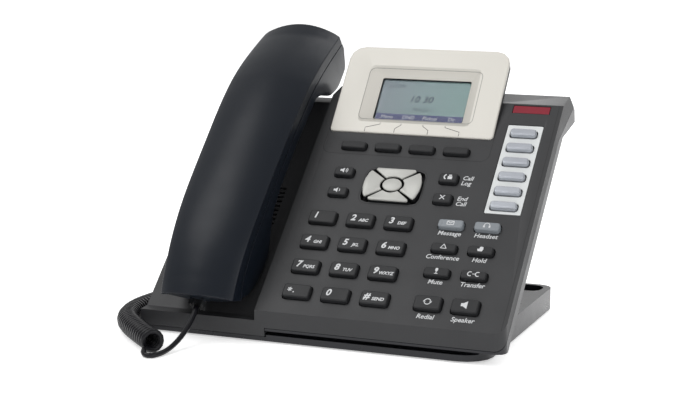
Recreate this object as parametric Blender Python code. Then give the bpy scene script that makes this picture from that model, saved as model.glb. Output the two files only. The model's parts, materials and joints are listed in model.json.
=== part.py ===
"""Desk IP phone with a corded handset, modelled at its real size.

The sloped face has a frame of its own: x runs to the right from the left edge of the key panel,
v runs up the slope from the front edge of the face, and n points out of the face. Sizes are in
millimetres and become metres where a mesh is made. +Z is up and the phone's front looks towards -Y.
"""

import math

import bmesh
import bpy
from mathutils import Vector

MM = 0.001

# Body
TILT = 43.2  # degrees between the key face and the desk
FACE_FRONT_Z = 16.8  # height of the face's front edge
BODY_LEFT = -65.0
BODY_RIGHT = 131.8
FACE_LENGTH = 146.6  # up the slope, to the fold at the top
SLAB_DEPTH = 12.6  # thickness of the body under the key face
WALL = 2.2
SEAM_DEPTH = 6.5  # from the face down to the line where the covers meet
GAP = 0.3  # between pieces that touch
TOP_REAR = (159.0, -6.5)  # v and n of the top rear edge
REAR_SEAM = (161.9, -18.0)
REAR_FOOT = (162.2, -21.3)
REAR_HEEL = (158.6, -26.9)
FLARE_START = 135.3  # where the underside turns back towards the rear
SEAM_BEND = 128.0

# Cradle for the handset, along the left side
CRADLE_DEPTH = 8.4
CRADLE_FLOOR = 2.0
CRADLE_END = 148.0
CRADLE_REAR = (160.0, -18.5)
CRADLE_SHELF = (0.0, 11.5, 7.1, 12.0)  # y and z of the shelf's front and rear edges
PANEL_WALL = 5.5  # width of the wall that steps up from the cradle to the key panel
SKIRT_FOOT_Z = 3.5
BODY_RADIUS = 5.0  # of the front right corner, in plan

# Rear box of the bottom cover
BELLY_LEFT = -48.0
BELLY_RIGHT = 92.0
BELLY_FRONT = 30.0
BELLY_REAR = 150.0
BELLY_DEPTH = 30.0

# Loudspeaker under the cradle
SPEAKER_X = -25.0
SPEAKER_V = 73.0
SPEAKER_RADIUS = 20.0
SLIT_COUNT = 9
SLIT_PITCH = 3.0
SLIT_WIDTH = 1.4
SLIT_LENGTH = 28.0

# Keys
KEY_RISE = 2.5  # height of a key's top above the face
KEY_CLEARANCE = 0.4  # round a key in its hole
KEY_RADIUS = 1.6
KEY_EDGE = 0.5  # bevel round the top
KEY_DRAFT = 0.25
FLANGE_LIP = 0.7  # how far the flange reaches past the hole
FLANGE_THICK = 1.0
KEY_TRAVEL = 1.2
CORNER_STEPS = 2

DIAL_X, DIAL_V = 19.9, 60.7  # centre of key 1
DIAL_PITCH_X, DIAL_PITCH_V = 21.0, 15.94
DIAL_SIZE = (15.2, 8.4)
SOFT_X, SOFT_V, SOFT_PITCH = 23.3, 110.4, 19.25
SOFT_SIZE = (14.4, 5.2)
LINE_X, LINE_V, LINE_PITCH = 114.4, 125.5, 9.75
LINE_SIZE = (14.4, 4.8)
ROW_UPPER, ROW_LOWER = 91.8, 78.3
VOLUME_X, VOLUME_SIZE = 23.1, (11.0, 6.2)
CALL_X, CALL_SIZE = 81.4, (10.4, 6.6)
FUNCTION_X = (89.9, 109.2)
FUNCTION_V = (62.3, 47.2, 31.9, 13.2)
FUNCTION_SIZE = (13.8, 5.6)
LAST_ROW_SIZE = (14.4, 8.6)
PAD_X, PAD_V = 52.0, 84.9
PAD_SIZE = (32.0, 21.6)
PAD_CENTRE = (11.4, 9.0)
PAD_SLIT = 0.9
PAD_RISE = 2.2

# Label strip and message lamp
STRIP_CENTRE = (114.4, 101.9)
STRIP_SIZE = (19.8, 60.0)
STRIP_DEPTH = 0.8
LAMP_CENTRE_X = 115.0
LAMP_LENGTH = 20.6
LAMP_V = 140.0
LAMP_WIDTH = 5.6
LAMP_THICK = 3.0

# Circuit stack under the key face, as depths below it
MAT_TOP, MAT_THICK = 5.0, 1.2
BOARD_THICK = 1.6
BOARD_LEFT, BOARD_RIGHT = 8.5, 127.5
BOARD_FRONT, BOARD_STEP, BOARD_REAR = 5.0, 116.5, 134.5
STEP_X = 103.5  # the board and the mat reach further up the slope to the right of this
STANDOFFS = ((16.0, 14.0), (60.0, 14.0), (122.0, 14.0), (122.0, 70.0), (122.0, 128.0), (98.0, 100.0))

# Display
DISPLAY_TURN = 7.8  # degrees steeper than the face
DISPLAY_BASE = (120.4, 0.8)  # v and n of its bottom edge
BEZEL_LEFT, BEZEL_RIGHT = 5.9, 98.5
BEZEL_LENGTH = 56.4
BEZEL_THICK = 1.6
BEZEL_TOP_RADIUS, BEZEL_BOTTOM_RADIUS = 8.0, 2.0
WINDOW_X, WINDOW_S = 52.1, 25.6
WINDOW_SIZE = (63.6, 37.0)
VIEW_SIZE = (50.8, 26.6)
VIEW_X, VIEW_S = 52.7, 25.2
FUNNEL_DEPTH = 4.6
FUNNEL_RIM = 1.6
RIM_DEPTH = 4.6  # thin rim of the housing behind the bezel
HOUSING_LEFT, HOUSING_RIGHT = 15.0, 89.0
HOUSING_FOOT, HOUSING_TOP = 2.6, 50.0
HOUSING_DEPTH = 13.6
LENS_MARGIN = 1.6
LENS_THICK = 1.0
LCD_MARGIN = (5.0, 6.5)
LCD_THICK = 4.9

# Ports in the rear
PORT_LEFT, PORT_RIGHT = 12.0, 66.0
PORT_FRONT, PORT_REAR = 99.0, 115.0
NETWORK_PORTS = (21.0, 36.0)
NETWORK_SIZE = (12.2, 8.4)
HEADSET_PORT, HEADSET_SIZE = 49.0, (8.2, 7.2)
POWER_PORT, POWER_RADIUS = 59.6, 3.2
PORT_DEPTH = 12.0

# Stand
STAND_LEFT, STAND_RIGHT = -63.5, 122.0
STAND_FRONT_Y, STAND_REAR_Y = 1.2, 138.0
STAND_HEIGHT = 12.6
LIP_Z = 4.1
FOOT_HEIGHT = 0.8
FOOT_RADIUS = 7.0
FRONT_CORNER, REAR_CORNER = 15.0, 8.0
FEET = ((-51.0, 24.0), (104.0, 24.0), (108.0, 126.5), (-51.0, 126.5))
TROUGH_Y = (119.5, 135.0)
TROUGH_FLOOR_Z = 3.5
RISER_LEFT, RISER_RIGHT = -6.0, 74.0
RISER_FRONT_Y, RISER_REAR_Y = 68.0, 86.0
RISER_WALL = 2.5
LUG_V = (70.0, 78.0)

# Handset, lying in the cradle; stations run up its length
HANDSET_X = -28.0
# v, height of the side edge, half width, depth of the side band, height of the inner side, and
# how far up the slope the seam and the inner side lie from the side edge
HANDSET_STATIONS = (
    (-3.0, 11.3, 20.4, 8.0, 2.0, 5.4, 6.6),
    (4.0, 14.4, 20.7, 8.0, -0.2, 2.4, 2.8),
    (12.0, 17.0, 21.0, 7.6, -4.4, 0.0, 0.0),
    (24.0, 20.1, 21.7, 7.0, -7.6, 0.0, 0.0),
    (36.0, 22.0, 22.3, 6.6, -7.2, 0.0, 0.0),
    (46.0, 23.0, 22.7, 6.5, -1.0, 0.0, 0.0),
    (58.0, 23.6, 23.0, 6.5, 6.0, 0.0, 0.0),
    (76.0, 23.9, 23.2, 6.5, 8.4, 0.0, 0.0),
    (100.0, 23.9, 23.5, 6.5, 8.8, 0.0, 0.0),
    (118.0, 23.4, 23.8, 6.5, 8.2, 0.0, 0.0),
    (134.0, 22.0, 23.9, 6.5, 7.4, 0.0, 0.0),
    (144.0, 20.2, 23.9, 6.5, 1.8, 0.0, 0.0),
    (154.0, 17.8, 23.8, 6.5, -9.2, 0.0, 0.0),
    (166.0, 14.2, 23.6, 6.5, -14.0, 0.0, 0.0),
    (177.0, 10.5, 23.4, 6.5, -14.4, 0.0, 0.0),
    (184.0, 8.0, 23.2, 6.5, -5.0, 0.0, 0.0),
)
HANDSET_WALL = 2.0
HOLLOW_FIRST, HOLLOW_LAST = 5.0, 181.0
CROWN = 5.5
CROWN_STEPS = 6
LOWER_CORNER = 3.0
MOUTH_BULGE, EAR_BULGE = -2.0, 3.5  # how far the ends bow out at their middle
RECEIVER_V, RECEIVER_RADIUS, RECEIVER_THICK, RECEIVER_N = 168.5, 10.0, 7.0, -8.6
MICROPHONE_V, MICROPHONE_RADIUS, MICROPHONE_THICK, MICROPHONE_N = 29.0, 4.8, 5.0, -5.0
LIFT = 60.0

# Hook switch, a plunger under the handset's neck; its top slopes like the neck
HOOK_X, HOOK_V = -28.0, 140.0
HOOK_SIZE = (12.0, 5.0)
HOOK_TOP, HOOK_TOP_FALL = 3.6, 0.56
HOOK_RISE = 4.0
HOOK_FLANGE = 1.4

# Handset cord
CORD_RADIUS = 1.35
COIL_RADIUS = 6.1
PLUG_SIZE = (7.6, 6.2, 11.0)
PLUG_N = 7.2
PLUG_FOOT_V = -6.0  # outer end of the plug in the handset
JACK_CLEARANCE = 0.3
BASE_JACK_V, BASE_JACK_N = 40.0, -21.0
BASE_PLUG_OUT = 4.0


def slope_point(y, z):
    """v and n of a point given by its depth behind the front edge and its height."""
    a = math.radians(TILT)
    h = z - FACE_FRONT_Z
    return (y * math.cos(a) + h * math.sin(a), -y * math.sin(a) + h * math.cos(a))


def world_point(x, v, n):
    """x, y and z of a point of the face frame."""
    a = math.radians(TILT)
    return (
        x,
        v * math.cos(a) - n * math.sin(a),
        FACE_FRONT_Z + v * math.sin(a) + n * math.cos(a),
    )


def display_point(s, m):
    """v and n of a point given along the display's slope and out of its plane."""
    a = math.radians(DISPLAY_TURN)
    return (
        DISPLAY_BASE[0] + s * math.cos(a) - m * math.sin(a),
        DISPLAY_BASE[1] + s * math.sin(a) + m * math.cos(a),
    )


def material(name, colour, roughness, metallic=0.0):
    made = bpy.data.materials.new(name)
    made.use_nodes = True
    shader = made.node_tree.nodes["Principled BSDF"]
    shader.inputs["Base Color"].default_value = (*colour, 1.0)
    shader.inputs["Roughness"].default_value = roughness
    shader.inputs["Metallic"].default_value = metallic
    return made


def strip_cap(base, count):
    """Faces across one end of a handset shell, in strips from its outer side to its inner side."""
    last = 2 * CROWN_STEPS + (2 if count % 2 == 0 and count > 2 * CROWN_STEPS + 2 else 1)
    faces = [(base + i, base + i + 1, base + last - i - 1, base + last - i) for i in range(CROWN_STEPS)]
    if last == 2 * CROWN_STEPS + 2:
        faces.append((base + CROWN_STEPS, base + CROWN_STEPS + 1, base + CROWN_STEPS + 2))
        faces.append((base + last, base + last + 1, base))
    return faces


def solid(name, loops, parent, look=None, smooth=False, strips=False):
    """A closed solid through loops of points with as many points each, in millimetres."""
    count = len(loops[0])
    points = [Vector(p) * MM for loop in loops for p in loop]
    first, final = [tuple(reversed(range(count)))], [tuple(range(len(points) - count, len(points)))]
    if strips:
        first, final = strip_cap(0, count), strip_cap(len(points) - count, count)
    faces = first
    for level in range(len(loops) - 1):
        low, high = level * count, (level + 1) * count
        for i in range(count):
            j = (i + 1) % count
            faces.append((low + i, low + j, high + j, high + i))
    mesh = bpy.data.meshes.new(name)
    mesh.from_pydata(points, [], faces + final)
    if strips:
        work = bmesh.new()
        work.from_mesh(mesh)
        bmesh.ops.recalc_face_normals(work, faces=work.faces)
        work.to_mesh(mesh)
        work.free()
    if smooth:
        mesh.shade_smooth()
        mesh.set_sharp_from_angle(angle=math.radians(35))
    made = bpy.data.objects.new(name, mesh)
    if look:
        mesh.materials.append(look)
    made.parent = parent
    bpy.context.scene.collection.objects.link(made)
    return made


def across(name, outline, left, right, parent, look=None):
    """A prism along x from an outline of (v, n) points that runs counter-clockwise seen from +x."""
    return solid(name, [[(x, v, n) for v, n in outline] for x in (left, right)], parent, look)


def upright(name, outline, low, high, parent, look=None):
    """A prism along n from an outline of (x, v) points that runs counter-clockwise."""
    return solid(name, [[(x, v, n) for x, v in outline] for n in (low, high)], parent, look)


def box(name, x, v, n, parent, look=None):
    outline = [(x[0], v[0]), (x[1], v[0]), (x[1], v[1]), (x[0], v[1])]
    return upright(name, outline, n[0], n[1], parent, look)


def rounded(centre, size, radii, steps=CORNER_STEPS):
    """A rectangle with round corners, counter-clockwise from the lower right corner."""
    radii = radii if isinstance(radii, tuple) else (radii,) * 4
    corners = ((1, -1), (1, 1), (-1, 1), (-1, -1))
    points = []
    for turn, ((sx, sy), radius) in enumerate(zip(corners, radii)):
        cx = centre[0] + sx * (size[0] / 2 - radius)
        cy = centre[1] + sy * (size[1] / 2 - radius)
        for step in range(steps + 1):
            a = math.radians(-90 + 90 * turn + 90 * step / steps)
            points.append((cx + radius * math.cos(a), cy + radius * math.sin(a)))
    return points


def circle(centre, radius, count=20):
    return [
        (
            centre[0] + radius * math.cos(2 * math.pi * i / count),
            centre[1] + radius * math.sin(2 * math.pi * i / count),
        )
        for i in range(count)
    ]


def shifted(outline, by):
    return [(x + by[0], v + by[1]) for x, v in outline]


def at_level(outline, n):
    return [(x, v, n) for x, v in outline]


def joined(name, pieces, parent):
    """One object that holds several separate solids, for use as a cutter."""
    mesh = bpy.data.meshes.new(name)
    work = bmesh.new()
    for piece in pieces:
        work.from_mesh(piece.data)
        bpy.data.objects.remove(piece)
    work.to_mesh(mesh)
    work.free()
    made = bpy.data.objects.new(name, mesh)
    made.parent = parent
    bpy.context.scene.collection.objects.link(made)
    return made


def combine(target, other, operation):
    """Adds or takes away another object, which then stays as a hidden guide."""
    modifier = target.modifiers.new(other.name, "BOOLEAN")
    modifier.operation = operation
    modifier.solver = "EXACT"
    modifier.object = other
    other.hide_render = True
    other.display_type = "WIRE"


def cut(target, *others):
    for other in others:
        combine(target, other, "DIFFERENCE")


def add(target, *others):
    for other in others:
        combine(target, other, "UNION")


def key_plan():
    """Name, centre, size, corner radius and material of each rectangular key."""
    plan = []
    for i, label in enumerate(("1", "2", "3", "4", "5", "6", "7", "8", "9", "star", "0", "hash")):
        place = (DIAL_X + DIAL_PITCH_X * (i % 3), DIAL_V - DIAL_PITCH_V * (i // 3))
        plan.append((f"dial_key_{label}", place, DIAL_SIZE, "keycap"))
    for i in range(4):
        plan.append((f"soft_key_{i + 1}", (SOFT_X + SOFT_PITCH * i, SOFT_V), SOFT_SIZE, "keycap"))
    for i in range(6):
        plan.append((f"line_key_{i + 1}", (LINE_X, LINE_V - LINE_PITCH * i), LINE_SIZE, "light_key"))
    plan.append(("volume_up_key", (VOLUME_X, ROW_UPPER), VOLUME_SIZE, "keycap"))
    plan.append(("volume_down_key", (VOLUME_X, ROW_LOWER), VOLUME_SIZE, "keycap"))
    plan.append(("call_log_key", (CALL_X, ROW_UPPER), CALL_SIZE, "keycap"))
    plan.append(("end_call_key", (CALL_X, ROW_LOWER), CALL_SIZE, "keycap"))
    names = ("message", "headset", "conference", "hold", "mute", "transfer", "redial", "speaker")
    for i, label in enumerate(names):
        size = LAST_ROW_SIZE if i >= 6 else FUNCTION_SIZE
        look = "light_key" if i < 2 else "keycap"
        plan.append((f"{label}_key", (FUNCTION_X[i % 2], FUNCTION_V[i // 2]), size, look))
    return plan


def grown(size, by):
    return (size[0] + 2 * by, size[1] + 2 * by)


def make_key(name, outline_of, rise, parent, look):
    """A key with a flange under the cover and a drafted cap with a bevelled top."""
    flange_top = -WALL - GAP
    flange_foot = flange_top - FLANGE_THICK
    levels = (
        (FLANGE_LIP + KEY_CLEARANCE, flange_foot),
        (FLANGE_LIP + KEY_CLEARANCE, flange_top),
        (0.0, flange_top),
        (-KEY_DRAFT, rise - KEY_EDGE),
        (-KEY_DRAFT - KEY_EDGE, rise),
    )
    return solid(name, [at_level(outline_of(by), n) for by, n in levels], parent, look)


def rectangle_key(name, centre, size, parent, look):
    def outline(by):
        return rounded((0.0, 0.0), grown(size, by), max(KEY_RADIUS + by, 0.4))

    key = make_key(name, outline, KEY_RISE, parent, look)
    hole = upright(f"{name}_hole", shifted(outline(KEY_CLEARANCE), centre), -WALL - 1, 1, parent)
    key.location = (centre[0] * MM, centre[1] * MM, 0)
    return hole


def pad_outline(side, by):
    """One segment of the navigation pad, round its middle."""
    half_x, half_v = PAD_SIZE[0] / 2, PAD_SIZE[1] / 2
    slit = PAD_SLIT / 2 - by
    diagonal = half_v / half_x
    if side in ("up", "down"):
        reach, top = half_x - 3.0 + by, half_v + by
        near = PAD_CENTRE[1] / 2 + PAD_SLIT - by + 0.4
        foot = near / diagonal - slit * 1.6
        points = [
            (foot, near), (reach - slit, top - 1.6), (reach - slit - 3.0, top),
            (-(reach - slit - 3.0), top), (-(reach - slit), top - 1.6), (-foot, near),
        ]
        return points if side == "up" else [(x, -v) for x, v in reversed(points)]
    reach = half_x + by
    near = PAD_CENTRE[0] / 2 + PAD_SLIT - by
    low = (near * diagonal - slit * 1.6) * 0.9
    high = (half_x - 2.6) * diagonal - slit
    points = [
        (near, -low), (reach - 3.0, -high), (reach, -high + 3.4),
        (reach, high - 3.4), (reach - 3.0, high), (near, low),
    ]
    return points if side == "right" else [(-x, v) for x, v in reversed(points)]


def make_keys(parent, looks):
    """Builds the keys and returns the cutters for their holes."""
    holes = [rectangle_key(name, place, size, parent, looks[look]) for name, place, size, look in key_plan()]
    foot, top = -WALL - GAP - FLANGE_THICK, PAD_RISE
    for side in ("up", "down", "left", "right"):
        levels = ((-0.05, foot), (-0.15, top - KEY_EDGE), (-KEY_EDGE, top))
        loops = [at_level(pad_outline(side, by), n) for by, n in levels]
        key = solid(f"nav_{side}_key", loops, parent, looks["silver"])
        key.location = (PAD_X * MM, PAD_V * MM, 0)
    ovals = []
    for by, n in ((0.0, foot), (0.0, top - KEY_EDGE), (-KEY_EDGE, top)):
        ring = circle((0.0, 0.0), 1.0, 16)
        ovals.append([(x * (PAD_CENTRE[0] / 2 + by), v * (PAD_CENTRE[1] / 2 + by), n) for x, v in ring])
    key = solid("nav_ok_key", ovals, parent, looks["silver"])
    key.location = (PAD_X * MM, PAD_V * MM, 0)
    ring = rounded((PAD_X, PAD_V), grown(PAD_SIZE, KEY_CLEARANCE), 4.0)
    holes.append(upright("pad_hole", ring, -WALL - 1, 1, parent))
    return holes


def make_label_card(parent, looks):
    """A card in the strip's recess, with a hole for each line key."""
    outline = rounded(STRIP_CENTRE, grown(STRIP_SIZE, -GAP), 0.6)
    card = upright("line_label_card", outline, -STRIP_DEPTH + GAP, -0.1, parent, looks["card"])
    holes = []
    for i in range(6):
        hole = rounded((LINE_X, LINE_V - LINE_PITCH * i), grown(LINE_SIZE, KEY_CLEARANCE), KEY_RADIUS)
        holes.append(upright(f"card_hole_{i}", hole, -STRIP_DEPTH - 1, 1, parent))
    cut(card, joined("card_holes", holes, parent))


def cradle_profile():
    """Top side of the cradle, from the front wall to the rear."""
    front_y, front_z, rear_y, rear_z = CRADLE_SHELF
    return [
        slope_point(front_y, front_z),
        slope_point(rear_y, rear_z),
        (CRADLE_END, -CRADLE_DEPTH),
        CRADLE_REAR,
    ]


def bezel_outline(inset):
    middle = ((BEZEL_LEFT + BEZEL_RIGHT) / 2, BEZEL_LENGTH / 2)
    size = grown((BEZEL_RIGHT - BEZEL_LEFT, BEZEL_LENGTH), -inset)
    low, high = BEZEL_BOTTOM_RADIUS, BEZEL_TOP_RADIUS
    return rounded(middle, size, (low, high, high, low), 3)


def corner_cutter(name, parent):
    """Rounds the body's front right corner in plan."""
    reach = BODY_RIGHT - BODY_RADIUS
    arc = []
    for step in range(5):
        a = math.radians(-90.0 * step / 4)
        arc.append((reach + BODY_RADIUS * math.cos(a), BODY_RADIUS + BODY_RADIUS * math.sin(a)))
    outline = [(reach, -1.0), (BODY_RIGHT + 1, -1.0), (BODY_RIGHT + 1, BODY_RADIUS), *arc]
    return upright(name, outline, 0.0, 40.0, parent)


def make_top_cover(frame, display, upright_frame, looks, holes):
    lean = math.tan(math.radians(TILT))
    seam_front = (-SEAM_DEPTH * lean, -SEAM_DEPTH)
    outline = [seam_front, (SEAM_BEND, -SEAM_DEPTH), REAR_SEAM, TOP_REAR, (FACE_LENGTH, 0.0), (0.0, 0.0)]
    cover = across("top_cover", outline, BODY_LEFT, BODY_RIGHT, frame, looks["charcoal"])
    inner = [
        (seam_front[0] + 2.0, -SEAM_DEPTH - 1),
        (SEAM_BEND, -SEAM_DEPTH - 1),
        (REAR_SEAM[0] - WALL, REAR_SEAM[1] - 1),
        (TOP_REAR[0] - WALL, TOP_REAR[1] - WALL * 0.7),
        (FACE_LENGTH - WALL * 0.3, -WALL),
        (WALL * 1.3, -WALL),
    ]
    cut(cover, across("cover_cavity", inner, BODY_LEFT + WALL, BODY_RIGHT - WALL, frame))
    rim = upright("display_rim", bezel_outline(GAP), -RIM_DEPTH, -BEZEL_THICK, display)
    housing = box(
        "display_housing", (HOUSING_LEFT, HOUSING_RIGHT), (HOUSING_FOOT, HOUSING_TOP),
        (-HOUSING_DEPTH, -RIM_DEPTH + 1), display,
    )
    add(cover, rim, housing)
    cut(cover, upright("bezel_seat", bezel_outline(-GAP), -BEZEL_THICK - GAP, 5.0, display))
    cut(cover, box(
        "housing_cavity", (HOUSING_LEFT + WALL, HOUSING_RIGHT - WALL),
        (HOUSING_FOOT + WALL, HOUSING_TOP - WALL), (-HOUSING_DEPTH + WALL, 1), display,
    ))
    profile = cradle_profile()
    floor = CRADLE_DEPTH + CRADLE_FLOOR
    block = [
        slope_point(0.0, SKIRT_FOOT_Z),
        slope_point(WALL, SKIRT_FOOT_Z),
        slope_point(WALL, SKIRT_FOOT_Z + 1.2),
        (CRADLE_END - 0.8, -floor),
        (CRADLE_REAR[0] - 1.4, CRADLE_REAR[1] - 1.6),
        CRADLE_REAR,
        (TOP_REAR[0] + 0.2, TOP_REAR[1] - 1.0),
        TOP_REAR,
        (FACE_LENGTH, 0.0),
        (0.0, 0.0),
    ]
    add(cover, across("cradle_block", block, BODY_LEFT, PANEL_WALL, frame))
    space = [
        (profile[0][0] - 8.0, profile[0][1] - 0.2),
        *profile,
        (CRADLE_REAR[0] + 12.0, CRADLE_REAR[1] - 10.0),
        (CRADLE_REAR[0] + 12.0, 12.0),
        (-20.0, 12.0),
    ]
    cut(cover, across("cradle_space", space, BODY_LEFT - 5, 0.0, frame))
    slits = []
    for i in range(SLIT_COUNT):
        place = (SPEAKER_X, SPEAKER_V + SLIT_PITCH * (i - (SLIT_COUNT - 1) / 2))
        slit = rounded(place, (SLIT_LENGTH, SLIT_WIDTH), SLIT_WIDTH / 2 - 0.05, 1)
        slits.append(upright(f"slit_{i}", slit, -floor - 1, -CRADLE_DEPTH + 1, frame))
    hook = upright(
        "hook_slot", rounded((HOOK_X, HOOK_V), grown(HOOK_SIZE, KEY_CLEARANCE), 1.0),
        -floor - 1, -CRADLE_DEPTH + 1, frame,
    )
    lamp = box(
        "lamp_slot", (LAMP_CENTRE_X - LAMP_LENGTH / 2, LAMP_CENTRE_X + LAMP_LENGTH / 2),
        (LAMP_V, LAMP_V + LAMP_WIDTH), (-WALL - 1, 1), frame,
    )
    strip = rounded(STRIP_CENTRE, STRIP_SIZE, 0.8)
    cut(cover, upright("strip_recess", strip, -STRIP_DEPTH, 1, frame))
    cut(cover, joined("cover_holes", [*holes, *slits, hook, lamp], frame))
    cut(cover, corner_cutter("cover_corner", upright_frame))


def lug_places():
    """Name and span in x of the lugs that hold the stand in the belly's floor."""
    return (
        ("lug_left", (RISER_LEFT + 0.3, RISER_LEFT + RISER_WALL - 0.1)),
        ("lug_right", (RISER_RIGHT - RISER_WALL + 0.1, RISER_RIGHT - 0.3)),
    )


def make_bottom_cover(parent, upright_frame, looks):
    top = SEAM_DEPTH + GAP
    belly_top = -SLAB_DEPTH + 1
    outline = [
        slope_point(0.0, FACE_FRONT_Z - top / math.cos(math.radians(TILT))),
        slope_point(0.0, 6.4),
        slope_point(7.34, 6.4),
        (FLARE_START, -SLAB_DEPTH),
        REAR_HEEL,
        REAR_FOOT,
        (REAR_SEAM[0], REAR_SEAM[1] - GAP),
        (SEAM_BEND, -top),
    ]
    cover = across("bottom_cover", outline, BODY_LEFT, BODY_RIGHT, parent, looks["graphite"])
    add(cover, box(
        "belly", (BELLY_LEFT, BELLY_RIGHT), (BELLY_FRONT, BELLY_REAR), (-BELLY_DEPTH, belly_top), parent,
    ))
    inner_floor = -SLAB_DEPTH + WALL - 0.4
    cavity = [
        slope_point(WALL + 0.3, 8.4),
        slope_point(6.84, 8.4),
        (FLARE_START - 0.6, inner_floor),
        (REAR_HEEL[0] - 1.0, REAR_HEEL[1] + 2.6),
        (REAR_FOOT[0] - WALL, REAR_FOOT[1] + 0.6),
        (REAR_SEAM[0] - WALL, REAR_SEAM[1] + 3.0),
        (SEAM_BEND, -top + 3.0),
        slope_point(WALL + 0.3, 14.0),
    ]
    cut(cover, across("tray_cavity", cavity, BODY_LEFT + WALL, BODY_RIGHT - WALL, parent))
    cut(cover, box(
        "belly_cavity", (BELLY_LEFT + WALL, BELLY_RIGHT - WALL), (BELLY_FRONT + WALL, BELLY_REAR - WALL),
        (-BELLY_DEPTH + WALL, inner_floor + 1), parent,
    ))
    board_foot = MAT_TOP + MAT_THICK + GAP + BOARD_THICK
    for i, place in enumerate(STANDOFFS):
        add(cover, upright(
            f"standoff_{i}", circle(place, 2.5, 10), inner_floor - 1, -board_foot - GAP, parent,
        ))
    below = CRADLE_DEPTH + CRADLE_FLOOR + GAP
    space = [
        slope_point(-2.0, 2.0),
        slope_point(WALL + GAP, 2.0),
        slope_point(WALL + GAP, SKIRT_FOOT_Z + 1.2 - GAP),
        (CRADLE_END - 0.9, -below),
        (CRADLE_REAR[0] - 1.6, CRADLE_REAR[1] - 2.0),
        (CRADLE_REAR[0] + 4.0, CRADLE_REAR[1] - 2.4),
        (CRADLE_REAR[0] + 4.0, 4.0),
        slope_point(-2.0, 20.0),
    ]
    cut(cover, across("cradle_clearance", space, BODY_LEFT - 1, PANEL_WALL + GAP, parent))
    cut(cover, box(
        "port_opening", (PORT_LEFT - GAP, PORT_RIGHT + GAP), (PORT_FRONT - GAP, PORT_REAR + GAP),
        (-BELLY_DEPTH - 1, -BELLY_DEPTH + WALL + 1), parent,
    ))
    width, height, _ = PLUG_SIZE
    cut(cover, box(
        "handset_jack", (BELLY_LEFT - 1, BELLY_LEFT + WALL + 1),
        (BASE_JACK_V - width / 2 - JACK_CLEARANCE, BASE_JACK_V + width / 2 + JACK_CLEARANCE),
        (BASE_JACK_N - height / 2 - JACK_CLEARANCE, BASE_JACK_N + height / 2 + JACK_CLEARANCE), parent,
    ))
    for name, x in lug_places():
        cut(cover, box(
            f"{name}_hole", (x[0] - GAP, x[1] + GAP), (LUG_V[0] - GAP, LUG_V[1] + GAP),
            (-BELLY_DEPTH - 1, -BELLY_DEPTH + WALL + 1), parent,
        ))
    cut(cover, corner_cutter("tray_corner", upright_frame))


def make_circuit(parent, looks):
    def stepped(inset):
        return [
            (BOARD_LEFT + inset, BOARD_FRONT + inset),
            (BOARD_RIGHT - inset, BOARD_FRONT + inset),
            (BOARD_RIGHT - inset, BOARD_REAR - inset),
            (STEP_X + inset, BOARD_REAR - inset),
            (STEP_X + inset, BOARD_STEP - inset),
            (BOARD_LEFT + inset, BOARD_STEP - inset),
        ]

    mat_foot = -MAT_TOP - MAT_THICK
    upright("keypad_mat", stepped(0.5), mat_foot, -MAT_TOP, parent, looks["silicone"])
    board_top = mat_foot - GAP
    board = upright("main_board", stepped(0.0), board_top - BOARD_THICK, board_top, parent, looks["board"])
    add(board, box(
        "port_block", (PORT_LEFT, PORT_RIGHT), (PORT_FRONT, PORT_REAR), (-BELLY_DEPTH, board_top - 0.8), parent,
    ))
    middle = (PORT_FRONT + PORT_REAR) / 2
    low, high = -BELLY_DEPTH - 1, -BELLY_DEPTH + PORT_DEPTH
    sockets = [
        upright(f"network_{i}", rounded((x, middle), NETWORK_SIZE, 0.4, 1), low, high, parent)
        for i, x in enumerate(NETWORK_PORTS)
    ]
    sockets.append(upright(
        "headset", rounded((HEADSET_PORT, middle), HEADSET_SIZE, 0.4, 1), low, high, parent,
    ))
    sockets.append(upright("power", circle((POWER_PORT, middle), POWER_RADIUS, 12), low, high, parent))
    cut(board, joined("sockets", sockets, parent))


def make_display(display, looks):
    loops = [at_level(bezel_outline(edge), m) for edge, m in ((0.0, -BEZEL_THICK), (0.0, -0.4), (0.4, 0.0))]
    bezel = solid("display_bezel", loops, display, looks["silver"])
    frame_outline = rounded((WINDOW_X, WINDOW_S), grown(WINDOW_SIZE, FUNNEL_RIM), 1.5)
    add(bezel, upright("funnel_block", frame_outline, -FUNNEL_DEPTH, -0.8, display))
    outer = rounded((WINDOW_X, WINDOW_S), grown(WINDOW_SIZE, 0.4), 2.0)
    inner = rounded((VIEW_X, VIEW_S), grown(VIEW_SIZE, -0.3), 0.8)
    funnel = [at_level(inner, -FUNNEL_DEPTH - 0.3), at_level(outer, 0.3)]
    cut(bezel, solid("funnel", funnel, display))
    lens_top = -FUNNEL_DEPTH - GAP
    lens = rounded((VIEW_X, VIEW_S), grown(VIEW_SIZE, LENS_MARGIN), 0.8)
    upright("display_lens", lens, lens_top - LENS_THICK, lens_top, display, looks["clear"])
    lcd_top = lens_top - LENS_THICK - GAP
    lcd_size = (VIEW_SIZE[0] + 2 * LCD_MARGIN[0], VIEW_SIZE[1] + 2 * LCD_MARGIN[1])
    lcd = rounded((VIEW_X, VIEW_S), lcd_size, 0.6, 1)
    upright("lcd_module", lcd, lcd_top - LCD_THICK, lcd_top, display, looks["lcd"])


def make_lamp(parent, looks):
    half = LAMP_LENGTH / 2 - GAP
    front, rear = LAMP_V + GAP, LAMP_V + LAMP_WIDTH - GAP
    outline = [(front, -LAMP_THICK), (rear, -LAMP_THICK), (rear, -0.1), (front, -0.1)]
    across("message_lamp", outline, LAMP_CENTRE_X - half, LAMP_CENTRE_X + half, parent, looks["red"])


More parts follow.
